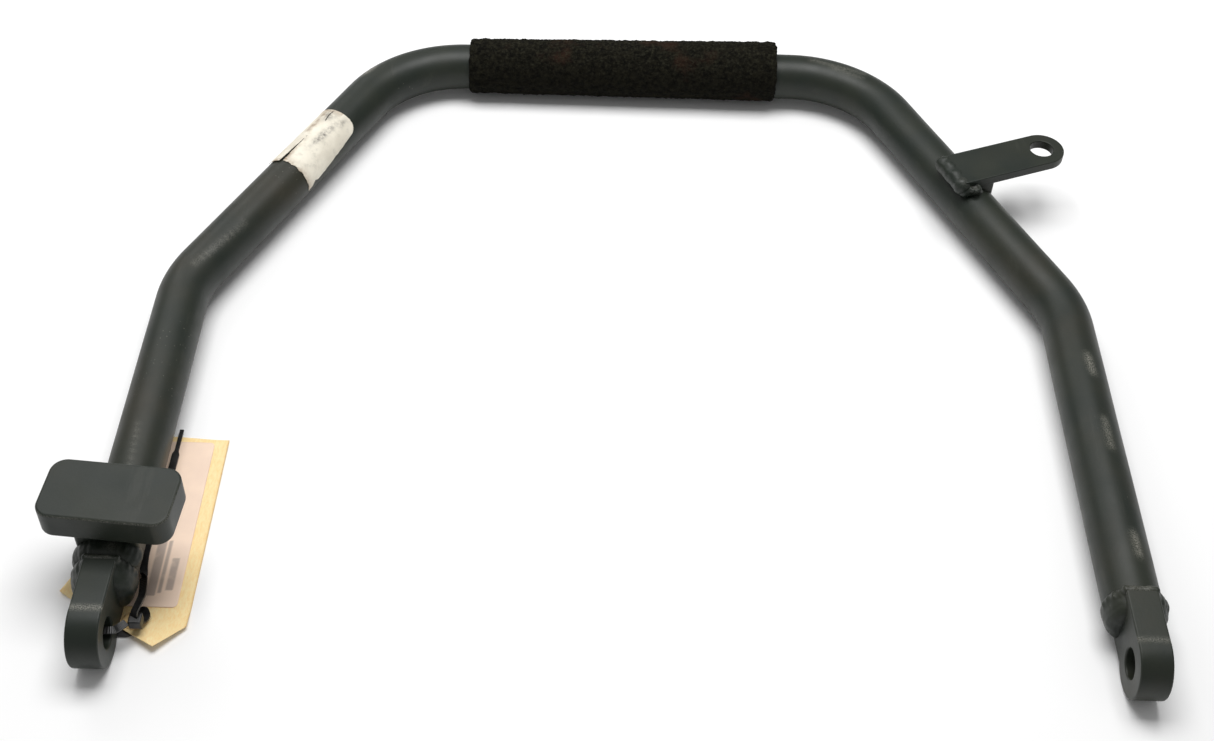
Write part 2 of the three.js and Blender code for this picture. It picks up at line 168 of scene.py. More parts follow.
class Tree:
    """A material's node tree, with short calls for the nodes that the finishes share."""

    def __init__(self, name):
        self.material = bpy.data.materials.new(name)
        self.material.use_nodes = True
        self.nodes = self.material.node_tree.nodes
        self.links = self.material.node_tree.links
        self.shader = self.nodes["Principled BSDF"]
        self.place = self.node("ShaderNodeTexCoord").outputs["Object"]

    def node(self, kind, **settings):
        made = self.nodes.new(kind)
        for key, value in settings.items():
            setattr(made, key, value)
        return made

    def feed(self, socket, value):
        if isinstance(value, bpy.types.NodeSocket):
            self.links.new(value, socket)
        else:
            socket.default_value = value

    def noise(self, scale, detail=3.0, rough=0.5, stretch=(1, 1, 1)):
        mapping = self.node("ShaderNodeMapping")
        self.feed(mapping.inputs["Vector"], self.place)
        mapping.inputs["Scale"].default_value = stretch
        made = self.node("ShaderNodeTexNoise")
        self.feed(made.inputs["Vector"], mapping.outputs[0])
        made.inputs["Scale"].default_value = scale
        made.inputs["Detail"].default_value = detail
        made.inputs["Roughness"].default_value = rough
        return made.outputs["Fac"]

    def voronoi(self, scale):
        made = self.node("ShaderNodeTexVoronoi")
        self.feed(made.inputs["Vector"], self.place)
        made.inputs["Scale"].default_value = scale
        return made.outputs["Distance"]

    def ramp(self, value, low, high, invert=False):
        made = self.node("ShaderNodeMapRange", interpolation_type="SMOOTHSTEP")
        self.feed(made.inputs["Value"], value)
        made.inputs["From Min"].default_value = low
        made.inputs["From Max"].default_value = high
        made.inputs["To Min"].default_value = 1.0 if invert else 0.0
        made.inputs["To Max"].default_value = 0.0 if invert else 1.0
        return made.outputs["Result"]

    def math(self, operation, a, b=0.0):
        made = self.node("ShaderNodeMath", operation=operation, use_clamp=operation != "MULTIPLY_ADD")
        self.feed(made.inputs[0], a)
        self.feed(made.inputs[1], b)
        return made.outputs[0]

    def mix(self, fac, a, b):
        made = self.node("ShaderNodeMix", data_type="RGBA")
        self.feed(made.inputs["Factor"], fac)
        for index, value in ((6, a), (7, b)):
            if not isinstance(value, bpy.types.NodeSocket):
                value = (*value, 1)
            self.feed(made.inputs[index], value)
        return made.outputs[2]

    def attribute(self, name):
        made = self.node("ShaderNodeAttribute", attribute_name=name)
        return made.outputs["Fac"]

    def colour(self, value):
        self.feed(self.shader.inputs["Base Color"], value)

    def roughness(self, value, low, high):
        made = self.node("ShaderNodeMapRange")
        self.feed(made.inputs["Value"], value)
        made.inputs["To Min"].default_value = low
        made.inputs["To Max"].default_value = high
        self.feed(self.shader.inputs["Roughness"], made.outputs["Result"])

    def bump(self, height, distance, strength=1.0, below=None):
        made = self.node("ShaderNodeBump")
        self.feed(made.inputs["Height"], height)
        made.inputs["Distance"].default_value = distance
        made.inputs["Strength"].default_value = strength
        if below is not None:
            self.feed(made.inputs["Normal"], below)
        return made.outputs["Normal"]

    def normal(self, value):
        self.feed(self.shader.inputs["Normal"], value)


# ---- Materials -----------------------------------------------------------------------------------


def painted_steel():
    """Olive-grey enamel: orange peel, faint mottling, scuffs, and paler places from the wear attribute, which
    are partly rubbed paint and partly painted highlights.
    """
    t = Tree("olive_enamel")
    base = t.mix(t.ramp(t.noise(26, 4), 0.35, 0.65), (0.0105, 0.0155, 0.0112), (0.0165, 0.0205, 0.0135))
    dusty = t.mix(t.ramp(t.noise(7, 5, 0.6), 0.45, 0.75), base, (0.03, 0.027, 0.017))
    streaks = t.ramp(t.noise(90, 5, 0.65, stretch=(1.0, 0.16, 1.0)), 0.58, 0.72)
    scuffed = t.mix(t.math("MULTIPLY", streaks, 0.12), dusty, (0.08, 0.08, 0.066))
    grain = t.ramp(t.noise(1500, 3, 0.6), 0.34, 0.7)
    # Paler paint where the wear attribute is high: rubbed paint, and at some spots painted highlights.
    paler_paint = t.math("MULTIPLY", t.attribute("wear"), grain)
    worn_and_highlit = t.mix(paler_paint, scuffed, (0.3, 0.29, 0.25))
    specks = t.math("MULTIPLY", t.ramp(t.voronoi(330), 0.06, 0.11, invert=True),
                    t.ramp(t.noise(18, 2), 0.56, 0.66))
    t.colour(t.mix(t.math("MULTIPLY", specks, 0.6), worn_and_highlit, (0.25, 0.24, 0.2)))
    t.roughness(t.math("ADD", t.noise(60, 4), t.math("MULTIPLY", paler_paint, 0.5)), 0.33, 0.6)
    peel = t.bump(t.noise(700, 2), 0.00012, 0.35)
    t.normal(t.bump(t.noise(60, 4, 0.6), 0.0005, 0.22, below=peel))
    t.shader.inputs["Specular IOR Level"].default_value = 0.32
    t.shader.inputs["Coat Weight"].default_value = 0.06
    t.shader.inputs["Coat Roughness"].default_value = 0.35
    return t.material


def grip_foam():
    """Coarse brownish-black foam, paler and dustier on its rubbed upper side."""
    t = Tree("grip_foam")
    base = t.mix(t.ramp(t.noise(240, 4, 0.7), 0.35, 0.68), (0.003, 0.0028, 0.002), (0.011, 0.01, 0.006))
    rust = t.ramp(t.noise(34, 4, 0.6), 0.56, 0.74)
    stained = t.mix(t.math("MULTIPLY", rust, 0.55), base, (0.034, 0.015, 0.009))
    dust = t.math("MULTIPLY", t.attribute("wear"), t.ramp(t.noise(500, 3, 0.7), 0.45, 0.7))
    t.colour(t.mix(dust, stained, (0.032, 0.031, 0.02)))
    t.roughness(t.noise(300), 0.85, 1.0)
    cells = t.bump(t.voronoi(900), 0.0005, 0.7)
    t.normal(t.bump(t.noise(420, 5, 0.75), 0.0009, 0.8, below=cells))
    t.shader.inputs["Specular IOR Level"].default_value = 0.08
    return t.material


def label_paper():
    """Cream label paper: brown stains at the rims, grime in cracks, and smears with no lettering."""
    t = Tree("cream_label")
    base = t.mix(t.ramp(t.noise(55, 5, 0.6), 0.3, 0.7), (0.86, 0.81, 0.69), (0.72, 0.67, 0.56))
    grey = t.mix(t.math("MULTIPLY", t.ramp(t.noise(160, 5, 0.7), 0.5, 0.7), 0.35), base, (0.42, 0.4, 0.34))
    brown = t.math("MULTIPLY", t.attribute("wear"), t.ramp(t.noise(120, 5, 0.7), 0.35, 0.6))
    stained = t.mix(brown, grey, (0.22, 0.12, 0.05))
    smear = t.math("MULTIPLY", t.attribute("smudge"), t.ramp(t.noise(300, 5, 0.75), 0.3, 0.68))
    t.colour(t.mix(smear, stained, (0.035, 0.03, 0.035)))
    t.roughness(t.noise(200), 0.5, 0.75)
    t.normal(t.bump(t.noise(300, 5, 0.7), 0.0003, 0.5))
    return t.material


def manila_card():
    """Manila tag board with short fibres and a darker handled rim."""
    t = Tree("manila_card")
    fibre = t.noise(900, 4, 0.7, stretch=(1, 0.3, 1))
    base = t.mix(t.ramp(fibre, 0.3, 0.7), (0.98, 0.8, 0.44), (0.95, 0.68, 0.31))
    soiled = t.mix(t.math("MULTIPLY", t.ramp(t.noise(28, 5, 0.6), 0.5, 0.75), 0.4), base, (0.85, 0.53, 0.2))
    t.colour(t.mix(t.math("MULTIPLY", t.attribute("wear"), 0.7), soiled, (0.55, 0.3, 0.1)))
    t.roughness(t.noise(400), 0.6, 0.8)
    t.normal(t.bump(fibre, 0.00008, 0.5))
    return t.material


def tag_print():
    """Pinkish label paper with a block of plain grey bars, where a real label has its print."""
    t = Tree("pink_label")
    base = t.mix(t.ramp(t.noise(70, 4), 0.3, 0.7), (0.92, 0.71, 0.55), (0.86, 0.66, 0.52))
    ink = t.math("MULTIPLY", t.attribute("smudge"), t.ramp(t.noise(60, 3, 0.6), 0.15, 0.45))
    t.colour(t.mix(t.math("MULTIPLY", ink, 0.6), base, (0.2, 0.17, 0.165)))
    t.roughness(t.noise(300), 0.45, 0.65)
    t.normal(t.bump(t.noise(600, 3), 0.00005, 0.4))
    return t.material


def black_nylon():
    t = Tree("black_nylon")
    t.colour(t.mix(t.ramp(t.noise(300, 4), 0.4, 0.7), (0.004, 0.004, 0.004), (0.014, 0.014, 0.014)))
    t.roughness(t.noise(250), 0.3, 0.5)
    t.normal(t.bump(t.noise(900, 2), 0.00004, 0.5))
    return t.material


# ---- Mesh helpers --------------------------------------------------------------------------------


def piece(name, shape, material, body, nodes, smooth=True):
    """Turns a bmesh, or a finished object, into a named piece that rides on a body."""
    if isinstance(shape, bpy.types.Object):
        made = shape
        made.name = made.data.name = name
    else:
        mesh = bpy.data.meshes.new(name)
        bmesh.ops.recalc_face_normals(shape, faces=shape.faces[:])
        shape.to_mesh(mesh)
        shape.free()
        made = bpy.data.objects.new(name, mesh)
        bpy.context.scene.collection.objects.link(made)
    made.data.materials.clear()
    made.data.materials.append(material)
    for face in made.data.polygons:
        face.use_smooth = smooth
    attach(made, body)
    if nodes:
        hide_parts(*nodes)
    return made


def applied(made):
    """The object with all its modifiers applied, as a plain mesh."""
    graph = bpy.context.evaluated_depsgraph_get()
    mesh = bpy.data.meshes.new_from_object(made.evaluated_get(graph))
    made.modifiers.clear()
    made.data = mesh
    return made


def loose_object(shape):
    """An object from a bmesh, to be worked on before it becomes a piece."""
    mesh = bpy.data.meshes.new("loose")
    shape.to_mesh(mesh)
    shape.free()
    made = bpy.data.objects.new("loose", mesh)
    bpy.context.scene.collection.objects.link(made)
    return made


def weather(made, name, strength_at):
    """Writes a value for each vertex, from its place, to an attribute that the material reads."""
    layer = made.data.attributes.new(name, "FLOAT", "POINT")
    for vertex, value in zip(made.data.vertices, layer.data):
        value.value = max(0.0, min(1.0, strength_at(vertex.co)))


def spots(places):
    """A wear function: soft round patches, each a centre, a radius in mm and a strength."""
    def strength_at(point):
        total = 0.0
        for centre, radius, strength in places:
            distance = (point - centre).length / (radius * MM)
            total += strength * math.exp(-distance * distance * 1.5)
        return total
    return strength_at


def loft(shape, rings, cap=True):
    """Joins closed rings of points, each as long as the next, into a skin, and may cap its ends."""
    made = [[shape.verts.new(p) for p in ring] for ring in rings]
    count = len(made[0])
    for near, far in zip(made, made[1:]):
        for i in range(count):
            j = (i + 1) % count
            shape.faces.new((near[i], near[j], far[j], far[i]))
    if cap:
        shape.faces.new(list(reversed(made[0])))
        shape.faces.new(made[-1])


def ring_round(centre, side, up, radius, sides):
    """A circle of points about a centre, in the plane of two unit vectors."""
    turns = [2 * math.pi * i / sides for i in range(sides)]
    return [centre + radius * (math.cos(a) * side + math.sin(a) * up) for a in turns]


def plate_between(outline, holes, low, high, edge, axis="z"):
    """A flat plate with rounded edges: outline and holes as closed point lists in its plane."""
    curve = bpy.data.curves.new("plate", "CURVE")
    curve.dimensions = "2D"
    curve.fill_mode = "BOTH"
    for ring in [outline] + holes:
        spline = curve.splines.new("POLY")
        spline.points.add(len(ring) - 1)
        spline.use_cyclic_u = True
        for point, (x, y) in zip(spline.points, ring):
            point.co = (x, y, 0, 1)
    curve.extrude = (high - low) / 2 - edge
    curve.bevel_depth = edge
    curve.bevel_resolution = 3
    curve.offset = -edge
    made = bpy.data.objects.new("plate", curve)
    bpy.context.scene.collection.objects.link(made)
    bpy.context.view_layer.update()
    graph = bpy.context.evaluated_depsgraph_get()
    mesh = bpy.data.meshes.new_from_object(made.evaluated_get(graph))
    bpy.data.objects.remove(made)
    mesh.transform(Matrix.Translation((0, 0, (low + high) / 2)))
    if axis == "x":
        mesh.transform(Matrix(((0, 0, 1, 0), (1, 0, 0, 0), (0, 1, 0, 0), (0, 0, 0, 1))))
    shape = bmesh.new()
    shape.from_mesh(mesh)
    bmesh.ops.remove_doubles(shape, verts=shape.verts[:], dist=1e-6)
    bmesh.ops.recalc_face_normals(shape, faces=shape.faces[:])
    return shape


def arc_points(centre, radius, first, last, steps):
    """Points of an arc in a plane, from one angle to another in degrees."""
    turns = [math.radians(first + (last - first) * i / steps) for i in range(steps + 1)]
    return [(centre[0] + radius * math.cos(a), centre[1] + radius * math.sin(a)) for a in turns]


def crisp(made):
    """Smooth shading with sharp arrises: weighted normals keep flat faces flat."""
    for face in made.data.polygons:
        face.use_smooth = True
    modifier = made.modifiers.new("weighted", "WEIGHTED_NORMAL")
    modifier.keep_sharp = True
    made.data.set_sharp_from_angle(angle=math.radians(40))


def weld_metal(name, lumps, body, nodes, seed, voxel=0.7, shape=None):
    """Weld metal from overlapping lumps, each a centre and three radii, melted into one skin."""
    rng = random.Random(seed)
    shape = shape or bmesh.new()
    for centre, radii in lumps:
        jitter = Vector([rng.uniform(-0.25, 0.25) * MM for _ in range(3)])
        stretch = Matrix.Diagonal((*[r * rng.uniform(0.95, 1.06) for r in radii], 1))
        bmesh.ops.create_icosphere(
            shape, subdivisions=3, radius=1, matrix=Matrix.Translation(centre + jitter) @ stretch)
    made = loose_object(shape)
    remesh = made.modifiers.new("melt", "REMESH")
    remesh.mode = "VOXEL"
    remesh.voxel_size = voxel * MM
    soften = made.modifiers.new("soften", "SMOOTH")
    soften.iterations = 4
    soften.factor = 0.5
    applied(made)
    offset = Vector((seed * 0.37, 0, 0))
    for vertex in made.data.vertices:
        coarse = noise.noise(vertex.co * 260 + offset) * 0.28
        fine = noise.noise(vertex.co * 700 + offset) * 0.08
        vertex.co += vertex.normal * (coarse + fine) * MM
    piece(name, made, STEEL, body, nodes)
    return made


def lumps_along(points, radius, pitch):
    """Lumps a pitch apart on a polyline, as a welder's ripples lie."""
    found = []
    for start, end in zip(points, points[1:]):
        count = max(1, round((end - start).length / pitch))
        for i in range(count):
            found.append((start.lerp(end, i / count), (radius, radius, radius)))
    found.append((points[-1], (radius, radius, radius)))
    return found


# ---- Bow tube ------------------------------------------------------------------------------------


def bent_path(corners, radius, step):
    """Stations (point, heading) along straight runs joined by arcs, a step apart."""
    stations = []
    start = corners[0]
    for i in range(1, len(corners) - 1):
        corner = corners[i]
        enter = (corner - corners[i - 1]).normalized()
        leave = (corners[i + 1] - corner).normalized()
        turn = enter.angle(leave)
        setback = radius * math.tan(turn / 2)
        bend_start = corner - enter * setback
        stations += straight_run(start, bend_start, step)
        axis = enter.cross(leave).normalized()
        centre = bend_start + axis.cross(enter) * radius
        count = max(4, round(turn * radius / step))
        for k in range(count):
            spin = Matrix.Rotation(turn * k / count, 3, axis)
            stations.append((centre + spin @ (bend_start - centre), spin @ enter))
        start = corner + leave * setback
    stations += straight_run(start, corners[-1], step)
    stations.append((corners[-1], (corners[-1] - corners[-2]).normalized()))
    return stations


def straight_run(start, end, step):
    """Stations from start up to, but not at, the end."""
    count = max(1, round((end - start).length / step))
    heading = (end - start).normalized()
    return [(start.lerp(end, i / count), heading) for i in range(count)]


def bow_corners():
    """Corner points of the bow's centreline, from the left tube end to the right one."""
    half = ARM_HALF / MM
    end = (TUBE_END_Y - PIVOT_Y) / MM
    shoulder = (SHOULDER_Y - PIVOT_Y) / MM
    top = (TOP_Y - PIVOT_Y) / MM
    wide = TOP_HALF / MM
    places = [(-half, end), (-half, shoulder), (-wide, top), (wide, top), (half, shoulder), (half, end)]
    return [on_bow(x, y) for x, y in places]


def bow_tube():
    """The bent tube, very slightly uneven, with its bore open for a short way at both ends."""
    shape = bmesh.new()
    stations = bent_path(bow_corners(), BEND_RADIUS, 2.6 * MM)
    sides = 80
    outer = []
    for point, heading in stations:
        side = heading.cross(UP)
        ring = ring_round(point, side, UP, TUBE_RADIUS, sides)
        outer.append([p + (p - point) * 0.006 * noise.noise(p * 22) for p in ring])
    inner_ends = []
    for point, heading in (stations[0], stations[-1]):
        inner_ends.append(ring_round(point, heading.cross(UP), UP, TUBE_RADIUS - TUBE_WALL, sides))
    depth = 25 * MM
    lead_in = [p + stations[0][1] * depth for p in inner_ends[0]]
    lead_out = [p - stations[-1][1] * depth for p in inner_ends[1]]
    loft(shape, [lead_in, inner_ends[0]] + outer + [inner_ends[1], lead_out])
    made = piece("bow_tube_skin", shape, STEEL, "bow", ["bow_tube"])
    weather(made, "wear", spots(tube_rubs_and_highlights()))


def tube_rubs_and_highlights():
    """Thin streaks of paler paint along the bends and arms, each as a row of small soft spots: rubbed paint,
    with painted highlights on the right bend.
    """
    streaks = [
        ((-271, 268, 14.5), (-246, 308, 14.5), 3.0, 0.42), ((-189, 470, 14), (-183, 478, 14), 3.5, 0.5),
        # The two rows on the right bend are painted highlights; the other rows are rubbed paint.
        ((132, 500, 15.8), (168, 486, 15.8), 2.6, 0.5), ((146, 492, 14.5), (166, 481, 14.5), 2.2, 0.4),
        ((280, 212, 15), (281, 196, 15), 3.0, 0.4), ((281, 160, 15), (281, 138, 15), 3.0, 0.4),
        ((282, 60, 15), (282, 76, 15), 3.0, 0.35), ((-276, 92, 15), (-278, 132, 15), 2.2, 0.4),
    ]
    rubs_and_highlights = []
    for start, end, radius, strength in streaks:
        for i in range(9):
            rubs_and_highlights.append((on_bow(*start).lerp(on_bow(*end), i / 8), radius, strength))
    return rubs_and_highlights


# ---- Foam grip -----------------------------------------------------------------------------------


def foam_grip():
    """A sleeve of coarse foam, thicker towards its right end, with a crumbly skin and ragged ends."""
    shape = bmesh.new()
    around, along = 270, 330
    length = GRIP_HIGH.x - GRIP_LOW.x
    core = TUBE_RADIUS + 0.1 * MM
    rings = []
    for i in range(along + 1):
        share = i / along
        size = {key: (GRIP_LEFT[key] * (1 - share) + GRIP_RIGHT[key] * share) * MM for key in GRIP_LEFT}
        ring = []
        for k in range(around):
            angle = 2 * math.pi * k / around
            arm = Vector((0, math.cos(angle), math.sin(angle)))
            ragged = 1.0 * MM * noise.noise(arm * 5 + Vector((share * 3, 0, 0)))
            x = GRIP_LOW.x + 0.6 * MM + (length - 1.2 * MM) * share + ragged * abs(2 * share - 1) ** 8
            spot = Vector((x, 0, 0)) + arm * size["radius"]
            crumbs = noise.voronoi(spot * 560)[0][0]
            rough = noise.fractal(spot * 230, 0.9, 2.1, 4)
            relief = (0.6 * rough - 0.8 * crumbs + 0.2 * noise.noise(spot * 30) + 0.15) * MM
            end_round = 1.2 * MM * (max(0.0, abs(2 * share - 1) - 0.985) / 0.015) ** 2
            radius = min(size["radius"] - 0.45 * MM + relief - end_round, size["radius"] + 0.1 * MM)
            centre = Vector((x, TOP_Y + size["back"], AXIS_Z + size["lift"]))
            ring.append(centre + arm * radius)
        rings.append(ring)
    ends = []
    for edge in (rings[0], rings[-1]):
        axis = Vector((0, TOP_Y, AXIS_Z))
        inner = []
        for p in edge:
            arm = Vector((0, p.y - axis.y, p.z - axis.z)).normalized()
            inner.append(Vector((p.x, 0, 0)) + axis + arm * core)
        ends.append(inner)
    loft(shape, [ends[0]] + rings + [ends[1]], cap=False)
    made = piece("foam_grip_sleeve", shape, FOAM, "bow", ["foam_grip"])
    weather(made, "wear", lambda p: 0.05 + 0.5 * (p.z - AXIS_Z) / (20 * MM))


# ---- Eye lugs and their welds --------------------------------------------------------------------


def lug_outline():
    """Side outline in y and z: a round eye, and a neck with a flat top that runs to the tube."""
    first = math.degrees(math.asin(NECK_TOP / EYE_RADIUS))
    last = 360 + math.degrees(math.asin(NECK_BOTTOM / EYE_RADIUS))
    eye = arc_points((PIVOT_Y, AXIS_Z), EYE_RADIUS, first, last, 72)
    root = TUBE_END_Y - 0.2 * MM
    start = eye[0][0]
    rows = round((root - start) / MM)
    top = [(root + (start - root) * i / rows, AXIS_Z + NECK_TOP) for i in range(rows)]
    return top + eye + [(root, AXIS_Z + NECK_BOTTOM)]


def eye_lug(side, x):
    """The drilled plate, with the spigot that plugs into the tube's end."""
    hole = arc_points((PIVOT_Y, AXIS_Z), PIN_HOLE_RADIUS, 0, 354, 59)
    shape = plate_between(lug_outline(), [hole], x - PLATE_HALF, x + PLATE_HALF, 1.1 * MM, axis="x")
    spigot = TUBE_RADIUS - TUBE_WALL - 0.3 * MM
    start = Vector((x, TUBE_END_Y - 1 * MM, AXIS_Z))
    end = Vector((x, LUG_HIGH.y, AXIS_Z))
    rings = [ring_round(p, Vector((1, 0, 0)), UP, spigot, 40) for p in (start, end)]
    loft(shape, rings)
    made = piece(f"{side}_lug_forging", shape, STEEL, "bow", [f"{side}_eye_lug"])
    crisp(made)
    return made


def wear_lug(made, strength):
    """Paint rubbed where the neck's top rolls over into the eye."""
    def strength_at(p):
        on_top = p.z > AXIS_Z + 16 * MM
        return strength * math.exp(-((p.y - CREASE_Y) / (1.9 * MM)) ** 2) * on_top
    weather(made, "wear", strength_at)


CLOSURE_PROFILE = [
    (-12, 6), (-11.6, 10.5), (-11, 13), (-9.8, 15), (-7.6, 16.5), (-4.5, 17.1), (-1.5, 17.3), (1, 17.4),
    (3.2, 17), (5, 16.2),
]


def lug_weld(side, x, seed):
    """Weld metal that closes the tube beside the lug, with a lumpy bead over the step at the tube's end."""
    shape = bmesh.new()
    rings = []
    for y, radius in CLOSURE_PROFILE:
        centre = Vector((x, TUBE_END_Y + y * MM, AXIS_Z))
        rings.append(ring_round(centre, Vector((1, 0, 0)), UP, radius * MM, 48))
    loft(shape, rings)
    outer = 1 if x > MIDDLE_X else -1
    lumps = []
    for step in range(9):
        along = (-8 + 2 * step) * MM
        place = Vector((x + along, TUBE_END_Y + 1.8 * MM, AXIS_Z + 16.3 * MM))
        lumps.append((place, (2.2 * MM, 2.6 * MM, 2.4 * MM)))
    for degrees in range(-40, 75, 12):
        turn = math.radians(degrees)
        arm = Vector((outer * math.cos(turn), 0, math.sin(turn)))
        place = Vector((x, TUBE_END_Y - 0.5 * MM, AXIS_Z)) + arm * 16.1 * MM
        lumps.append((place, (2.3 * MM, 5.0 * MM, 2.3 * MM)))
    for degrees in range(10, 66, 14):
        turn = math.radians(degrees)
        arm = Vector((-outer * math.cos(turn), 0, math.sin(turn)))
        place = Vector((x, TUBE_END_Y + 1.5 * MM, AXIS_Z)) + arm * 16.0 * MM
        lumps.append((place, (2.0 * MM, 3.4 * MM, 2.0 * MM)))
    made = weld_metal(f"{side}_lug_weld_bead", lumps, "bow", [f"{side}_lug_weld"], seed, shape=shape)
    # The paler paint on the ridge's top is a painted highlight.
    ridge = Vector((x, TUBE_END_Y + 1.5 * MM, AXIS_Z + 18 * MM))
    right_of, left_of = ridge + Vector((3 * MM, 0, 0)), ridge - Vector((4 * MM, 0, 0))
    weather(made, "wear", spots([(right_of, 4, 0.4), (left_of, 4, 0.35)]))


# ---- Stop pad, post and welds --------------------------------------------------------------------


def stop_pad():
    """Thick block with round corners, rubbed along its front upper edge."""
    corner = 9 * MM
    half_x, half_y = PAD_SIZE.x / 2, PAD_SIZE.y / 2
    outline = []
    corners = [(half_x, -half_y, -90), (half_x, half_y, 0), (-half_x, half_y, 90), (-half_x, -half_y, 180)]
    for x, y, first in corners:
        centre = (x - math.copysign(corner, x), y - math.copysign(corner, y))
        outline += arc_points(centre, corner, first, first + 90, 14)
    shape = plate_between(outline, [], -PAD_SIZE.z, 0, 1.5 * MM)
    top = MOUNTS["stop_pad_top"]
    shape.transform(Matrix.Translation(top) @ Matrix.Rotation(PAD_YAW, 4, "Z"))
    made = piece("stop_pad_block", shape, STEEL, "bow", ["stop_pad"])
    crisp(made)

    def strength_at(p):
        depth = (top.z - p.z) / MM
        near_front = (p.y - PAD_LOW.y) < 14 * MM
        return (0.3 if near_front else 0.1) * (0.2 < depth < 1.3)
    weather(made, "wear", strength_at)


def rounded_block(low, high, edge):
    """A box between two corners with its edges rounded."""
    shape = bmesh.new()
    size = high - low
    place = Matrix.Translation((low + high) / 2) @ Matrix.Diagonal((*size, 1))
    bmesh.ops.create_cube(shape, size=1, matrix=place)
    bmesh.ops.bevel(shape, geom=shape.edges[:], offset=edge, segments=3, affect="EDGES", profile=0.6)
    return shape


def pad_post():
    """Saddle block between the tube and the pad."""
    low = Vector((POST_LOW.x, POST_LOW.y, AXIS_Z + 2 * MM))
    shape = rounded_block(low, Vector((POST_HIGH.x, POST_HIGH.y, PAD_LOW.z + 0.5 * MM)), 2 * MM)
    made = piece("pad_post_block", shape, STEEL, "bow", ["pad_post"])
    crisp(made)


def pad_welds():
    """A broad bead round the tube and a seam under the pad, before and behind the post."""
    for place, face, sign, seed in (("front", POST_LOW.y, -1, 5), ("rear", POST_HIGH.y, 1, 6)):
        saddle_bead(place, face, sign, seed)
        seam_bead(place, face, sign, seed + 4)


def saddle_bead(place, face, sign, seed):
    x = MIDDLE_X - ARM_HALF
    reach = TUBE_RADIUS - 0.6 * MM
    lumps = []
    for degrees in range(-76, 77, 11):
        turn = math.radians(degrees)
        arm = Vector((math.sin(turn), 0, math.cos(turn)))
        centre = Vector((x, face + sign * 2.5 * MM, AXIS_Z)) + arm * reach
        lumps.append((centre, (4.6 * MM, 8.5 * MM, 4.2 * MM)))
    made = weld_metal(f"pad_saddle_bead_{place}", lumps, "bow", [f"pad_post_weld_{place}"], seed)
    # The paler spot on the bead's top is a painted highlight.
    paler_paint = Vector((x + 4 * MM, face + sign * 4 * MM, AXIS_Z + 17 * MM))
    weather(made, "wear", spots([(paler_paint, 4, 0.35)]))


def seam_bead(place, face, sign, seed):
    y = face + sign * 0.3 * MM
    z = PAD_LOW.z - 0.2 * MM
    line = [Vector((POST_LOW.x + 3 * MM, y, z)), Vector((POST_HIGH.x - 3 * MM, y, z))]
    lumps = lumps_along(line, 3.2 * MM, 1.6 * MM)
    made = weld_metal(f"pad_seam_bead_{place}", lumps, "bow", [f"pad_weld_{place}"], seed)
    weather(made, "wear", spots([(line[1], 4, 0.2)]))


# ---- Drilled tab ---------------------------------------------------------------------------------

TAB_ANGLE = math.radians(22)
TAB_HOLE = on_bow(279, 395.4)
TAB_HOLE_RADIUS = 7.9 * MM
TAB_HALF = 15 * MM
TAB_BACK = 66 * MM
TAB_LINE = 57 * MM               # from the hole back to the tube's centreline
TAB_THICKNESS = 6.35 * MM
TAB_PLACE = Matrix.Translation((TAB_HOLE.x, TAB_HOLE.y, 0)) @ Matrix.Rotation(TAB_ANGLE, 4, "Z")
TAB_TOP = MOUNTS["tab_top"].z
TAB_BOTTOM = TAB_TOP - TAB_THICKNESS


def on_tab(x, y, z):
    """A point in the tab's own frame, in mm from its hole and from its underside, in the row frame."""
    return TAB_PLACE @ Vector((x * MM, y * MM, TAB_BOTTOM + z * MM))


def tab_plate():
    """Flat bar with a round, drilled end."""
    tip = arc_points((0, 0), TAB_HALF, -90, 90, 36)
    back = [(-TAB_BACK, TAB_HALF), (-TAB_BACK, -TAB_HALF)]
    hole = arc_points((0, 0), TAB_HOLE_RADIUS, 0, 352, 44)
    shape = plate_between(tip + back, [hole], TAB_BOTTOM, TAB_TOP, 0.7 * MM)
    shape.transform(TAB_PLACE)
    made = piece("tab_bar", shape, STEEL, "bow", ["tab_plate"])
    crisp(made)


def tab_foot():
    """Spacer between the tab's underside and the tube."""
    low = Vector((-TAB_LINE, -TAB_HALF + 1 * MM, AXIS_Z + 2 * MM))
    high = Vector((-TAB_LINE + 14 * MM, TAB_HALF - 1 * MM, TAB_BOTTOM + 0.5 * MM))
    shape = rounded_block(low, high, 1.2 * MM)
    shape.transform(TAB_PLACE)
    made = piece("tab_spacer", shape, STEEL, "bow", ["tab_foot"])
    crisp(made)


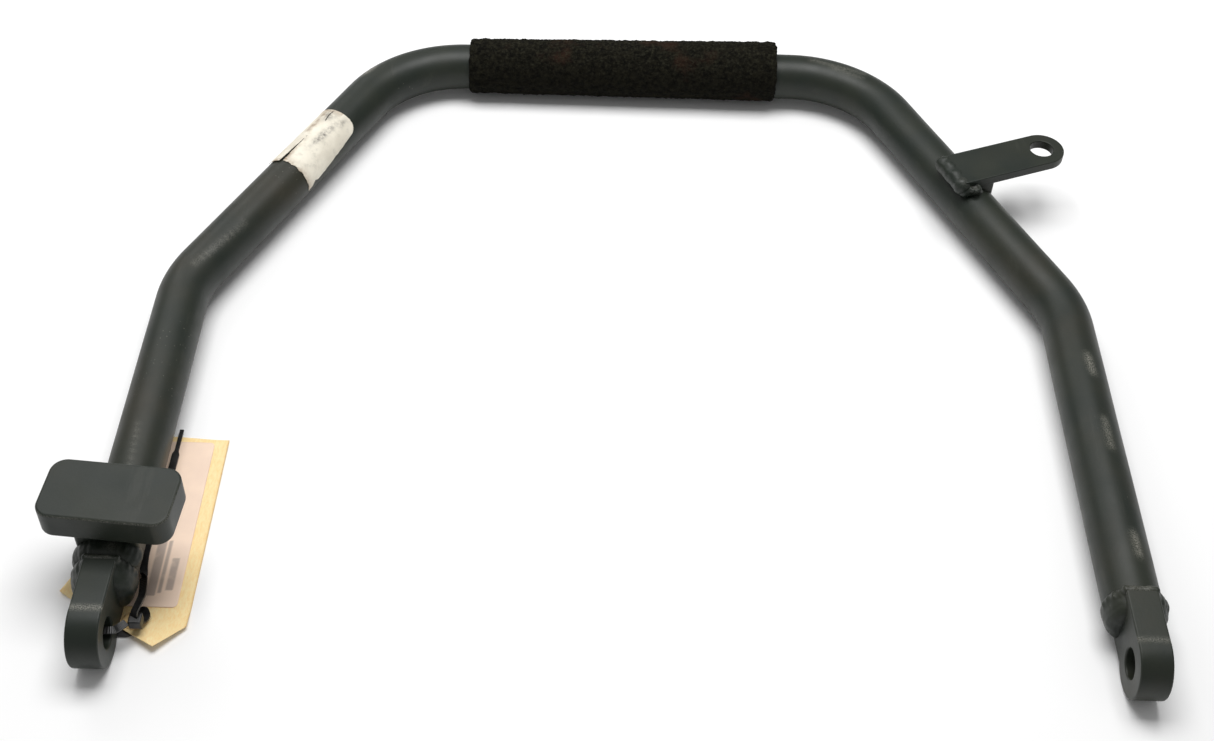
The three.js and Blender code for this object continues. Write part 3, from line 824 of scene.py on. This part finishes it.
def tab_welds():
    """Beads at the tab's root, in front with the ring of its crater, and behind."""
    root = [on_tab(-66.5, -11.5, 0.9), on_tab(-66.5, 12, 0.9)]
    made = weld_metal("tab_root_bead", lumps_along(root, 5.9 * MM, 2.4 * MM), "bow", ["tab_root_weld"], 21)
    weather(made, "wear", spots([(on_tab(-66, -12, 4), 5, 0.25)]))
    front = [on_tab(-66, -14, -1.2), on_tab(-58, -15, -1.8), on_tab(-55, -15.4, -6)]
    crater = on_tab(-60, -16.5, 1.6)
    lumps = lumps_along(front, 3.8 * MM, 1.8 * MM)
    for i in range(14):
        turn = 2 * math.pi * i / 14
        rim = Vector((3.3 * MM * math.cos(turn), 3.3 * MM * math.sin(turn), 0))
        lumps.append((crater + rim, (1.2 * MM, 1.2 * MM, 1.5 * MM)))
    made = weld_metal("tab_front_bead", lumps, "bow", ["tab_front_weld"], 22, voxel=0.45)
    # The paler paint over the crater ring is a painted highlight.
    weather(made, "wear", spots([(crater, 4, 0.45)]))
    rear = [on_tab(-64, 14.5, -1.2), on_tab(-54, 15, -2.6), on_tab(-48, 14, -5)]
    made = weld_metal("tab_rear_bead", lumps_along(rear, 3.6 * MM, 2.8 * MM), "bow", ["tab_rear_weld"], 23)
    weather(made, "wear", spots([(rear[0], 4, 0.15)]))


# ---- Worn label on the left diagonal -------------------------------------------------------------

LABEL_START = 85 * MM
LABEL_LENGTH = 64 * MM
LABEL_OUTER = 56.0            # degrees round the tube from its top, outwards
INNER_AT_START = -68.0
INNER_AT_END = -103.0
TEAR_AT = 11.0


def label_sheet():
    """Wrapped sheet with a rounded corner, a nick, a frayed end, and a strip torn off along the bar."""
    corners = bow_corners()
    top, shoulder = corners[2], corners[1]
    heading = (shoulder - top).normalized()
    inward = UP.cross(heading)
    if inward.x < 0:
        inward = -inward
    rows, columns = 150, 150
    shape = bmesh.new()
    grid = {}
    for i in range(rows + 1):
        for k in range(columns + 1):
            s = i / rows
            point = label_point(top, heading, inward, s, k / columns)
            if point is not None:
                grid[i, k] = shape.verts.new(point)
    for i in range(rows):
        for k in range(columns):
            ring = [(i, k), (i + 1, k), (i + 1, k + 1), (i, k + 1)]
            if all(c in grid for c in ring):
                shape.faces.new([grid[c] for c in ring])
    loose = [v for v in shape.verts if not v.link_faces]
    bmesh.ops.delete(shape, geom=loose, context="VERTS")
    made = piece("worn_label", shape, LABEL, "bow", ["bow_label"])
    thick = made.modifiers.new("paper", "SOLIDIFY")
    thick.thickness = 0.16 * MM
    thick.offset = 0
    applied(made)
    wear_label(made, top, heading, inward)


def label_point(top, heading, inward, s, share):
    """Where the label lies at share s along it and a share of its width, or None where it is torn off."""
    inner = INNER_AT_START + (INNER_AT_END - INNER_AT_START) * s
    angle = inner + (LABEL_OUTER - inner) * share
    x = math.radians(angle - inner) * TUBE_RADIUS
    y = s * LABEL_LENGTH
    corner = 7 * MM
    if x < corner and y < corner and math.hypot(corner - x, corner - y) > corner:
        return None
    fray = 0.9 * MM * noise.noise(Vector((angle * 0.09, 3, 0)))
    end = LABEL_LENGTH - 2.0 * MM + fray + (1.5 * MM if angle > TEAR_AT else 0)
    if y > end:
        return None
    nick = 2.0 * MM * max(0.0, 1 - abs(y - 0.84 * LABEL_LENGTH) / (3.5 * MM))
    if x < nick + 0.35 * MM * (1 + noise.noise(Vector((y * 300, 7, 0)))):
        return None
    tear_line = TEAR_AT + 2.0 * noise.noise(Vector((y * 130, 1, 0)))
    gap = 3.2 * max(0.0, (s - 0.5) / 0.5) ** 1.2
    if s > 0.5 and abs(angle - tear_line) < gap:
        return None
    crack = abs(angle - 4 - 6 * noise.noise(Vector((y * 90, 5, 0)))) < 0.9
    if 0.03 < s < 0.2 and crack:
        return None
    lift = 0.28 * MM + 0.12 * MM * noise.noise(Vector((angle * 0.08, y * 160, 0)))
    beside_tear = math.exp(-((angle - TEAR_AT) / 7) ** 2) * max(0.0, (s - 0.45) * 1.8)
    strip = 0.5 * MM * max(0.0, (s - 0.6) / 0.4) * (angle > TEAR_AT)
    lift += 0.55 * MM * beside_tear + strip
    turn = math.radians(angle)
    arm = -inward * math.sin(turn) + UP * math.cos(turn)
    return top + heading * (LABEL_START + y) + arm * (TUBE_RADIUS + lift)


def wear_label(made, top, heading, inward):
    def local(p):
        """Share along the label, and degrees round the tube from its top, outwards."""
        away = p - top
        along = away.dot(heading) - LABEL_START
        return along / LABEL_LENGTH, math.degrees(math.atan2(-away.dot(inward), p.z - AXIS_Z))

    def stain_at(p):
        s, angle = local(p)
        end = 0.7 * math.exp(-((1 - s) * 13) ** 2)
        tear = 0.9 * math.exp(-((angle - TEAR_AT + 4) / 6) ** 2) * max(0.0, (s - 0.4) / 0.6)
        side = 0.8 * math.exp(-((angle - 22) / 10) ** 2) * math.exp(-((s - 0.25) * 4) ** 2)
        start = 0.5 * math.exp(-(s * 14) ** 2) * (angle > -20)
        return end + tear + side + start

    def smear_at(p):
        s, angle = local(p)
        middle = math.exp(-(((s - 0.4) * 5.2) ** 2 + ((angle + 20 - 14 * (s - 0.4)) / 8) ** 2))
        dots = 0.75 * math.exp(-(((s - 0.11) * 11) ** 2 + ((angle - 6) / 17) ** 2))
        right = 0.5 * math.exp(-(((s - 0.1) * 12) ** 2 + ((angle + 35) / 8) ** 2))
        return 1.1 * middle + dots + right
    weather(made, "wear", stain_at)
    weather(made, "smudge", smear_at)


# ---- Card tag ------------------------------------------------------------------------------------

CARD_HOLE = Vector((on_bow(-262, 0).x, on_bow(0, 20.1).y, 0))
CARD_HOLE_RADIUS = 4 * MM
CARD_CLIP = 15 * MM
CARD_TIP_Y = on_bow(0, 38).y
CARD_CREASE_Y = on_bow(0, 30).y
CARD_LIFT = math.tan(math.radians(9.5))


def card_outline():
    """The card's corners, with its near right one clipped and its near left one cut off."""
    left, right = CARD_LOW.x, CARD_HIGH.x
    near, far = CARD_LOW.y, CARD_HIGH.y
    clipped = [(right - CARD_CLIP, near), (right, near + CARD_CLIP)]
    return [(right, far - 4 * MM), (left, far), (left, CARD_TIP_Y)] + clipped


def draw_in_left_edge(shape):
    """Pulls the card's left side in, beyond its tip, to the worn line that its left edge follows."""
    right, width = CARD_HIGH.x, CARD_HIGH.x - CARD_LOW.x
    knee, far = on_bow(-298, 62), on_bow(-294, 155)
    for v in shape.verts:
        if v.co.y <= CARD_TIP_Y:
            continue
        if v.co.y < knee.y:
            share = (v.co.y - CARD_TIP_Y) / (knee.y - CARD_TIP_Y)
            left = CARD_LOW.x + (knee.x - CARD_LOW.x) * share
        else:
            left = knee.x + (far.x - knee.x) * (v.co.y - knee.y) / (far.y - knee.y)
        v.co.x = right - (right - v.co.x) * (right - left) / width


def card_height(x, y):
    """The card's warp: its near end rises past a soft crease, and its rims curl off the ground."""
    share = (y - CARD_LOW.y) / (CARD_HIGH.y - CARD_LOW.y)
    right = max(0.0, (x - CARD_HIGH.x + 14 * MM) / (14 * MM))
    left = max(0.0, (CARD_LOW.x + 12 * MM - x) / (12 * MM))
    wave = 0.14 * MM * (1 + noise.noise(Vector((x * 25, y * 25, 0))))
    past = CARD_CREASE_Y - y
    soft = 3 * MM
    rise = max(0.0, past + soft) ** 2 / (4 * soft) if past < soft else past
    return wave + CARD_LIFT * rise + 0.7 * MM * right ** 2 * share + 3.5 * MM * left ** 1.6 * (1 - share) ** 3


def flat_sheet(outline, holes, cell):
    """A sheet cut to an outline, filled with a fine even grid so that it can be bent."""
    xs = [p[0] for p in outline]
    ys = [p[1] for p in outline]
    shape = bmesh.new()
    nx = max(2, round((max(xs) - min(xs)) / cell))
    ny = max(2, round((max(ys) - min(ys)) / cell))
    place = Matrix.Translation(((max(xs) + min(xs)) / 2, (max(ys) + min(ys)) / 2, 0))
    place @= Matrix.Diagonal(((max(xs) - min(xs)) / 2, (max(ys) - min(ys)) / 2, 1, 1))
    bmesh.ops.create_grid(shape, x_segments=nx, y_segments=ny, size=1, matrix=place)
    for (ax, ay), (bx, by) in zip(outline, outline[1:] + outline[:1]):
        outward = Vector((by - ay, ax - bx, 0))
        bmesh.ops.bisect_plane(shape, geom=shape.verts[:] + shape.edges[:] + shape.faces[:], dist=1e-7,
                               plane_co=(ax, ay, 0), plane_no=outward, clear_outer=True)
    for centre, radius in holes:
        inside = [f for f in shape.faces if (f.calc_center_median() - centre).length < radius]
        bmesh.ops.delete(shape, geom=inside, context="FACES")
        cut = {v for e in shape.edges if e.is_boundary for v in e.verts}
        for v in cut:
            if (v.co - centre).length >= radius * 1.4:
                continue
            v.co = centre + (v.co - centre).normalized() * radius
    return shape


def sheet_piece(name, shape, lift, thickness, material, nodes):
    """A flat sheet laid on the card's warp and given its thickness."""
    for v in shape.verts:
        v.co.z = cad_box[0][2] + lift + card_height(v.co.x, v.co.y)
    made = piece(name, shape, material, "tag", nodes)
    thick = made.modifiers.new("board", "SOLIDIFY")
    thick.thickness = thickness
    thick.offset = 1
    applied(made)
    return made


def tag_card():
    shape = flat_sheet(card_outline(), [(CARD_HOLE, CARD_HOLE_RADIUS)], 1.3 * MM)
    draw_in_left_edge(shape)
    made = sheet_piece("manila_tag", shape, 0.05 * MM, 0.33 * MM, CARD, ["tag_card"])
    low, high = CARD_LOW, CARD_HIGH

    def rim_at(p):
        nearest = min(abs(p.x - low.x), abs(high.x - p.x), abs(high.y - p.y))
        return 0.8 * math.exp(-(nearest / (0.7 * MM)) ** 2)
    weather(made, "wear", rim_at)


def tag_patch():
    """Reinforcing ring round the card's hole."""
    ring = bmesh.new()
    centre = Vector((CARD_HOLE.x, CARD_HOLE.y, 0))
    rings = [ring_round(centre, Vector((1, 0, 0)), Vector((0, 1, 0)), r * MM, 48) for r in (4.1, 5.5, 7)]
    loft(ring, rings, cap=False)
    made = sheet_piece("tag_eyelet_patch", ring, 0.42 * MM, 0.15 * MM, CARD, ["tag_patch"])
    weather(made, "wear", lambda p: 0.6)


def tag_label():
    low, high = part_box("tag_label")
    corner = 3 * MM
    outline = []
    corners = [(high.x, low.y, -90), (high.x, high.y, 0), (low.x, high.y, 90), (low.x, low.y, 180)]
    for x, y, first in corners:
        inset_x = x - corner if x == high.x else x + corner
        inset_y = y - corner if y == high.y else y + corner
        outline += arc_points((inset_x, inset_y), corner, first, first + 90, 6)
    shape = flat_sheet(outline, [], 1.0 * MM)
    made = sheet_piece("pink_tag_label", shape, 0.42 * MM, 0.1 * MM, PRINT, ["tag_label"])
    # Each bar: its middle, its half width, and its start and end along the label.
    bars = [(high.x - 7 * MM, 2.0, 12, 34), (high.x - 11.5 * MM, 1.1, 10, 46), (high.x - 16 * MM, 2.6, 8, 52)]

    def bar_at(p):
        for x, half, start, end in bars:
            if abs(p.x - x) < half * MM and start * MM < p.y - low.y < end * MM:
                return 1.0
        return 0.0
    weather(made, "smudge", bar_at)


# ---- Nylon tie -----------------------------------------------------------------------------------

STRAP_ROUTE = [
    (-262.6, 10.4, -5.6), (-266, 6, -4.6), (-270, 4.4, -4.5), (-284, 4, -4.8), (-289, 6, -7),
    (-290.5, 10, -12), (-289, 12.2, -16), (-284.5, 12.6, -17.7), (-272, 12.4, -18), (-265.6, 12.2, -18),
    (-262.6, 13.4, -18), (-261.9, 16.2, -17.95), (-261.6, 20.2, -17.1), (-260.9, 24.2, -16.2),
    (-257.8, 25.2, -14.9), (-255.6, 21.5, -14.4), (-256.6, 16.8, -13.2), (-258.5, 14, -8),
    (-258.8, 15, -3.2), (-257.8, 20, -2.6), (-257.6, 27, -4.8), (-258.8, 34.5, -7.6), (-262.6, 48, -15.2),
    (-264.6, 58, -16.6), (-265.4, 70, -17.15), (-264.6, 90, -17.2), (-263, 120, -17.2), (-262.6, 157, -17.2),
]


def smooth_route(points, per_span):
    """Catmull-Rom curve through the points."""
    padded = [points[0] * 2 - points[1]] + points + [points[-1] * 2 - points[-2]]
    found = []
    for a, b, c, d in zip(padded, padded[1:], padded[2:], padded[3:]):
        for i in range(per_span):
            t = i / per_span
            even = 2 * b + (c - a) * t
            curved = (2 * a - 5 * b + 4 * c - d) * t * t + (3 * b - a - 3 * c + d) * t ** 3
            found.append(0.5 * (even + curved))
    found.append(points[-1])
    return found


def tie_strap():
    """Flat strap with fine cross ribs. It follows the route without kinks, and lies flat near the ground."""
    route = smooth_route([on_bow(*p) for p in STRAP_ROUTE], 14)
    lying_below = cad_box[0][2] + 5 * MM
    half_width, half_thick = 2.1 * MM, 0.52 * MM
    shape = bmesh.new()
    rings = []
    flat = None
    for i, point in enumerate(route):
        ahead = route[min(i + 1, len(route) - 1)]
        behind = route[max(i - 1, 0)]
        heading = (ahead - behind).normalized()
        if flat is None:
            flat = heading.cross(Vector((0, 1, 0))).normalized()
        wanted = flat.lerp(UP, 0.4) if point.z < lying_below else flat
        flat = (wanted - heading * wanted.dot(heading)).normalized()
        side = heading.cross(flat)
        rib = 0.12 * MM * (i % 2)
        narrow = 0.55 if i > len(route) - 8 else 1.0
        w, h = half_width * narrow, half_thick + rib
        rings.append([point + side * w + flat * half_thick, point - side * w + flat * half_thick,
                      point - side * w - flat * h, point + side * w - flat * h])
    loft(shape, rings)
    piece("cable_tie_strap", shape, NYLON_BLACK, "tie", ["tag_tie_strap"], smooth=False)


def tie_head():
    """The tie's locking head, a small block with rounded edges."""
    shape = rounded_block(HEAD_LOW, HEAD_HIGH, 0.9 * MM)
    made = piece("cable_tie_head", shape, NYLON_BLACK, "tie", ["tag_tie_head"])
    crisp(made)


# ---- Build ---------------------------------------------------------------------------------------

STEEL = painted_steel()
FOAM = grip_foam()
LABEL = label_paper()
CARD = manila_card()
PRINT = tag_print()
NYLON_BLACK = black_nylon()

place_camera()
light_the_set()
lay_floor()
bow_tube()
foam_grip()
for SIDE, SIGN, SEED, RUBBED in (("left", -1, 1, 0.8), ("right", 1, 2, 0.45)):
    LUG_X = MIDDLE_X + SIGN * ARM_HALF
    wear_lug(eye_lug(SIDE, LUG_X), RUBBED)
    lug_weld(SIDE, LUG_X, SEED)
stop_pad()
pad_post()
pad_welds()
tab_plate()
tab_foot()
tab_welds()
label_sheet()
tag_card()
tag_patch()
tag_label()
tie_strap()
tie_head()
